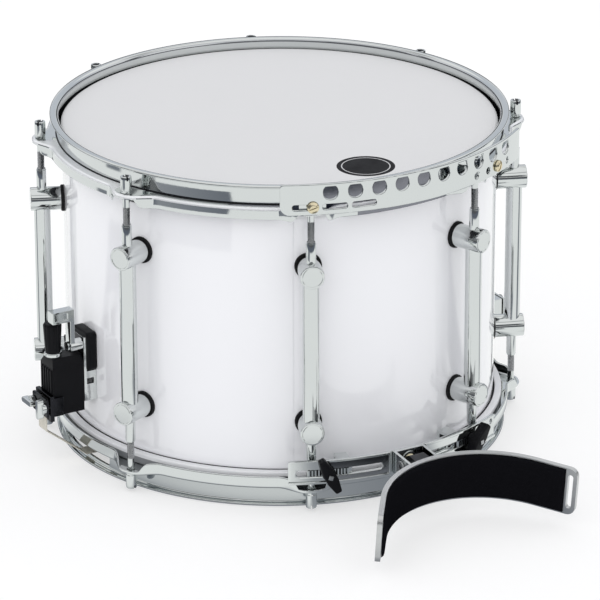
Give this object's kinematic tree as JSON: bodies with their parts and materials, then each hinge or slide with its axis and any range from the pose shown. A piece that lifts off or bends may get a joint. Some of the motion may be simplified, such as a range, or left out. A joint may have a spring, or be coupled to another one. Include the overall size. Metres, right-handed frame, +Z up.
{
  "type": "marching snare drum",
  "caption": "Deep marching snare drum with tensioned heads in chromed hoops, side throw-off strainer, perforated sling rail and a folding curved leg rest.",
  "frame": {"origin": "centre of the batter head's playing surface", "axes": "+Z up, out of the batter head; the leg rest points to -Y, the strainer to -X and the butt end to +X"},
  "size_m": [0.4501, 0.5072, 0.2798],
  "materials": {
    "shell": "gloss white wrap over a wooden shell",
    "head_film": "pale matte film",
    "chrome": "polished chrome plate",
    "rod_steel": "plated steel",
    "wire_steel": "bright steel cable",
    "aluminium": "satin aluminium",
    "brass": "plain brass",
    "black_plastic": "black moulded plastic",
    "felt": "black felt",
    "strap_cloth": "black woven strap"
  },
  "bodies": {
    "drum": {"shell": "shell", "batter_head": "head_film", "snare_head": "head_film", "batter_flesh_hoop": "aluminium", "snare_flesh_hoop": "aluminium", "batter_hoop": "chrome", "snare_hoop": "chrome", "tube_lug_1": "chrome", "tube_lug_2": "chrome", "tube_lug_3": "chrome", "tube_lug_4": "chrome", "tube_lug_5": "chrome", "tube_lug_6": "chrome", "tube_lug_7": "chrome", "tube_lug_8": "chrome", "strainer_base": "black_plastic", "strainer_bracket": "chrome", "strainer_housing": "black_plastic", "snare_strap_strainer": "strap_cloth", "butt_end": "black_plastic", "butt_clamp_plate": "chrome", "snare_strap_butt": "strap_cloth", "snare_wires": "wire_steel", "sling_rail": "chrome", "rail_bracket_left": "chrome", "rail_screw_left": "brass", "rail_bracket_right": "chrome", "rail_screw_right": "brass", "leg_rest_rail": "chrome", "claw_left": "chrome", "claw_right": "chrome", "hinge_yoke": "chrome", "hinge_pin": "rod_steel"},
    "batter_rod_1": {"batter_rod_1": "rod_steel"},
    "batter_rod_2": {"batter_rod_2": "rod_steel"},
    "batter_rod_3": {"batter_rod_3": "rod_steel"},
    "batter_rod_4": {"batter_rod_4": "rod_steel"},
    "batter_rod_5": {"batter_rod_5": "rod_steel"},
    "batter_rod_6": {"batter_rod_6": "rod_steel"},
    "batter_rod_7": {"batter_rod_7": "rod_steel"},
    "batter_rod_8": {"batter_rod_8": "rod_steel"},
    "snare_rod_1": {"snare_rod_1": "rod_steel"},
    "snare_rod_2": {"snare_rod_2": "rod_steel"},
    "snare_rod_3": {"snare_rod_3": "rod_steel"},
    "snare_rod_4": {"snare_rod_4": "rod_steel"},
    "snare_rod_5": {"snare_rod_5": "rod_steel"},
    "snare_rod_6": {"snare_rod_6": "rod_steel"},
    "snare_rod_7": {"snare_rod_7": "rod_steel"},
    "snare_rod_8": {"snare_rod_8": "rod_steel"},
    "lever": {"throw_lever": "chrome"},
    "knob": {"tension_knob": "black_plastic"},
    "clamp": {"snare_clamp_block": "black_plastic", "snare_clamp_plate": "chrome"},
    "thumb_front": {"thumb_screw_front": "chrome"},
    "thumb_rear": {"thumb_screw_rear": "chrome"},
    "butt_screw": {"butt_clamp_screw": "rod_steel"},
    "wing_left": {"wing_screw_left": "black_plastic"},
    "wing_right": {"wing_screw_right": "black_plastic"},
    "rest": {"leg_rest": "aluminium", "leg_rest_lining": "felt"}
  },
  "joints": [
    {"name": "batter_rod_1_turn", "type": "hinge", "parent": "drum", "child": "batter_rod_1", "pos_m": [0.07482, -0.18062, -0.0081], "axis": [0, 0, 1], "continuous": true},
    {"name": "batter_rod_2_turn", "type": "hinge", "parent": "drum", "child": "batter_rod_2", "pos_m": [0.18062, -0.07482, -0.0081], "axis": [0, 0, 1], "continuous": true},
    {"name": "batter_rod_3_turn", "type": "hinge", "parent": "drum", "child": "batter_rod_3", "pos_m": [0.18062, 0.07482, -0.0081], "axis": [0, 0, 1], "continuous": true},
    {"name": "batter_rod_4_turn", "type": "hinge", "parent": "drum", "child": "batter_rod_4", "pos_m": [0.07482, 0.18062, -0.0081], "axis": [0, 0, 1], "continuous": true},
    {"name": "batter_rod_5_turn", "type": "hinge", "parent": "drum", "child": "batter_rod_5", "pos_m": [-0.07482, 0.18062, -0.0081], "axis": [0, 0, 1], "continuous": true},
    {"name": "batter_rod_6_turn", "type": "hinge", "parent": "drum", "child": "batter_rod_6", "pos_m": [-0.18062, 0.07482, -0.0081], "axis": [0, 0, 1], "continuous": true},
    {"name": "batter_rod_7_turn", "type": "hinge", "parent": "drum", "child": "batter_rod_7", "pos_m": [-0.18062, -0.07482, -0.0081], "axis": [0, 0, 1], "continuous": true},
    {"name": "batter_rod_8_turn", "type": "hinge", "parent": "drum", "child": "batter_rod_8", "pos_m": [-0.07482, -0.18062, -0.0081], "axis": [0, 0, 1], "continuous": true},
    {"name": "snare_rod_1_turn", "type": "hinge", "parent": "drum", "child": "snare_rod_1", "pos_m": [0.07482, -0.18062, -0.2473], "axis": [0, 0, 1], "continuous": true},
    {"name": "snare_rod_2_turn", "type": "hinge", "parent": "drum", "child": "snare_rod_2", "pos_m": [0.18062, -0.07482, -0.2473], "axis": [0, 0, 1], "continuous": true},
    {"name": "snare_rod_3_turn", "type": "hinge", "parent": "drum", "child": "snare_rod_3", "pos_m": [0.18062, 0.07482, -0.2473], "axis": [0, 0, 1], "continuous": true},
    {"name": "snare_rod_4_turn", "type": "hinge", "parent": "drum", "child": "snare_rod_4", "pos_m": [0.07482, 0.18062, -0.2473], "axis": [0, 0, 1], "continuous": true},
    {"name": "snare_rod_5_turn", "type": "hinge", "parent": "drum", "child": "snare_rod_5", "pos_m": [-0.07482, 0.18062, -0.2473], "axis": [0, 0, 1], "continuous": true},
    {"name": "snare_rod_6_turn", "type": "hinge", "parent": "drum", "child": "snare_rod_6", "pos_m": [-0.18062, 0.07482, -0.2473], "axis": [0, 0, 1], "continuous": true},
    {"name": "snare_rod_7_turn", "type": "hinge", "parent": "drum", "child": "snare_rod_7", "pos_m": [-0.18062, -0.07482, -0.2473], "axis": [0, 0, 1], "continuous": true},
    {"name": "snare_rod_8_turn", "type": "hinge", "parent": "drum", "child": "snare_rod_8", "pos_m": [-0.07482, -0.18062, -0.2473], "axis": [0, 0, 1], "continuous": true},
    {"name": "lever_throw", "type": "hinge", "parent": "drum", "child": "lever", "pos_m": [-0.195, -0.006, -0.1587], "axis": [1, 0, 0], "range_deg": [0, 90]},
    {"name": "clamp_slide", "type": "slide", "parent": "drum", "child": "clamp", "axis": [0, 0, 1], "range_m": [-0.0081, 0]},
    {"name": "knob_turn", "type": "hinge", "parent": "drum", "child": "knob", "pos_m": [-0.211, 0, -0.1587], "axis": [0, 0, 1], "continuous": true},
    {"name": "thumb_front_turn", "type": "hinge", "parent": "clamp", "child": "thumb_front", "pos_m": [-0.226, -0.0098, -0.2067], "axis": [-1, 0, 0], "continuous": true},
    {"name": "thumb_rear_turn", "type": "hinge", "parent": "clamp", "child": "thumb_rear", "pos_m": [-0.226, 0.0098, -0.2067], "axis": [-1, 0, 0], "continuous": true},
    {"name": "butt_screw_turn", "type": "hinge", "parent": "drum", "child": "butt_screw", "pos_m": [0.216, 0, -0.2037], "axis": [1, 0, 0], "continuous": true},
    {"name": "wing_left_turn", "type": "hinge", "parent": "drum", "child": "wing_left", "pos_m": [-0.06837, -0.19856, -0.2277], "axis": [-0.3256, -0.9455, 0], "continuous": true},
    {"name": "wing_right_turn", "type": "hinge", "parent": "drum", "child": "wing_right", "pos_m": [0.06837, -0.19856, -0.2277], "axis": [0.3256, -0.9455, 0], "continuous": true},
    {"name": "leg_rest_fold", "type": "hinge", "parent": "drum", "child": "rest", "pos_m": [0, -0.219, -0.2247], "axis": [-1, 0, 0], "range_deg": [-60, 85]}
  ],
  "couplings": [
    {"joint": "clamp_slide", "follows": "lever_throw", "m_per_rad": -0.005093}
  ]
}
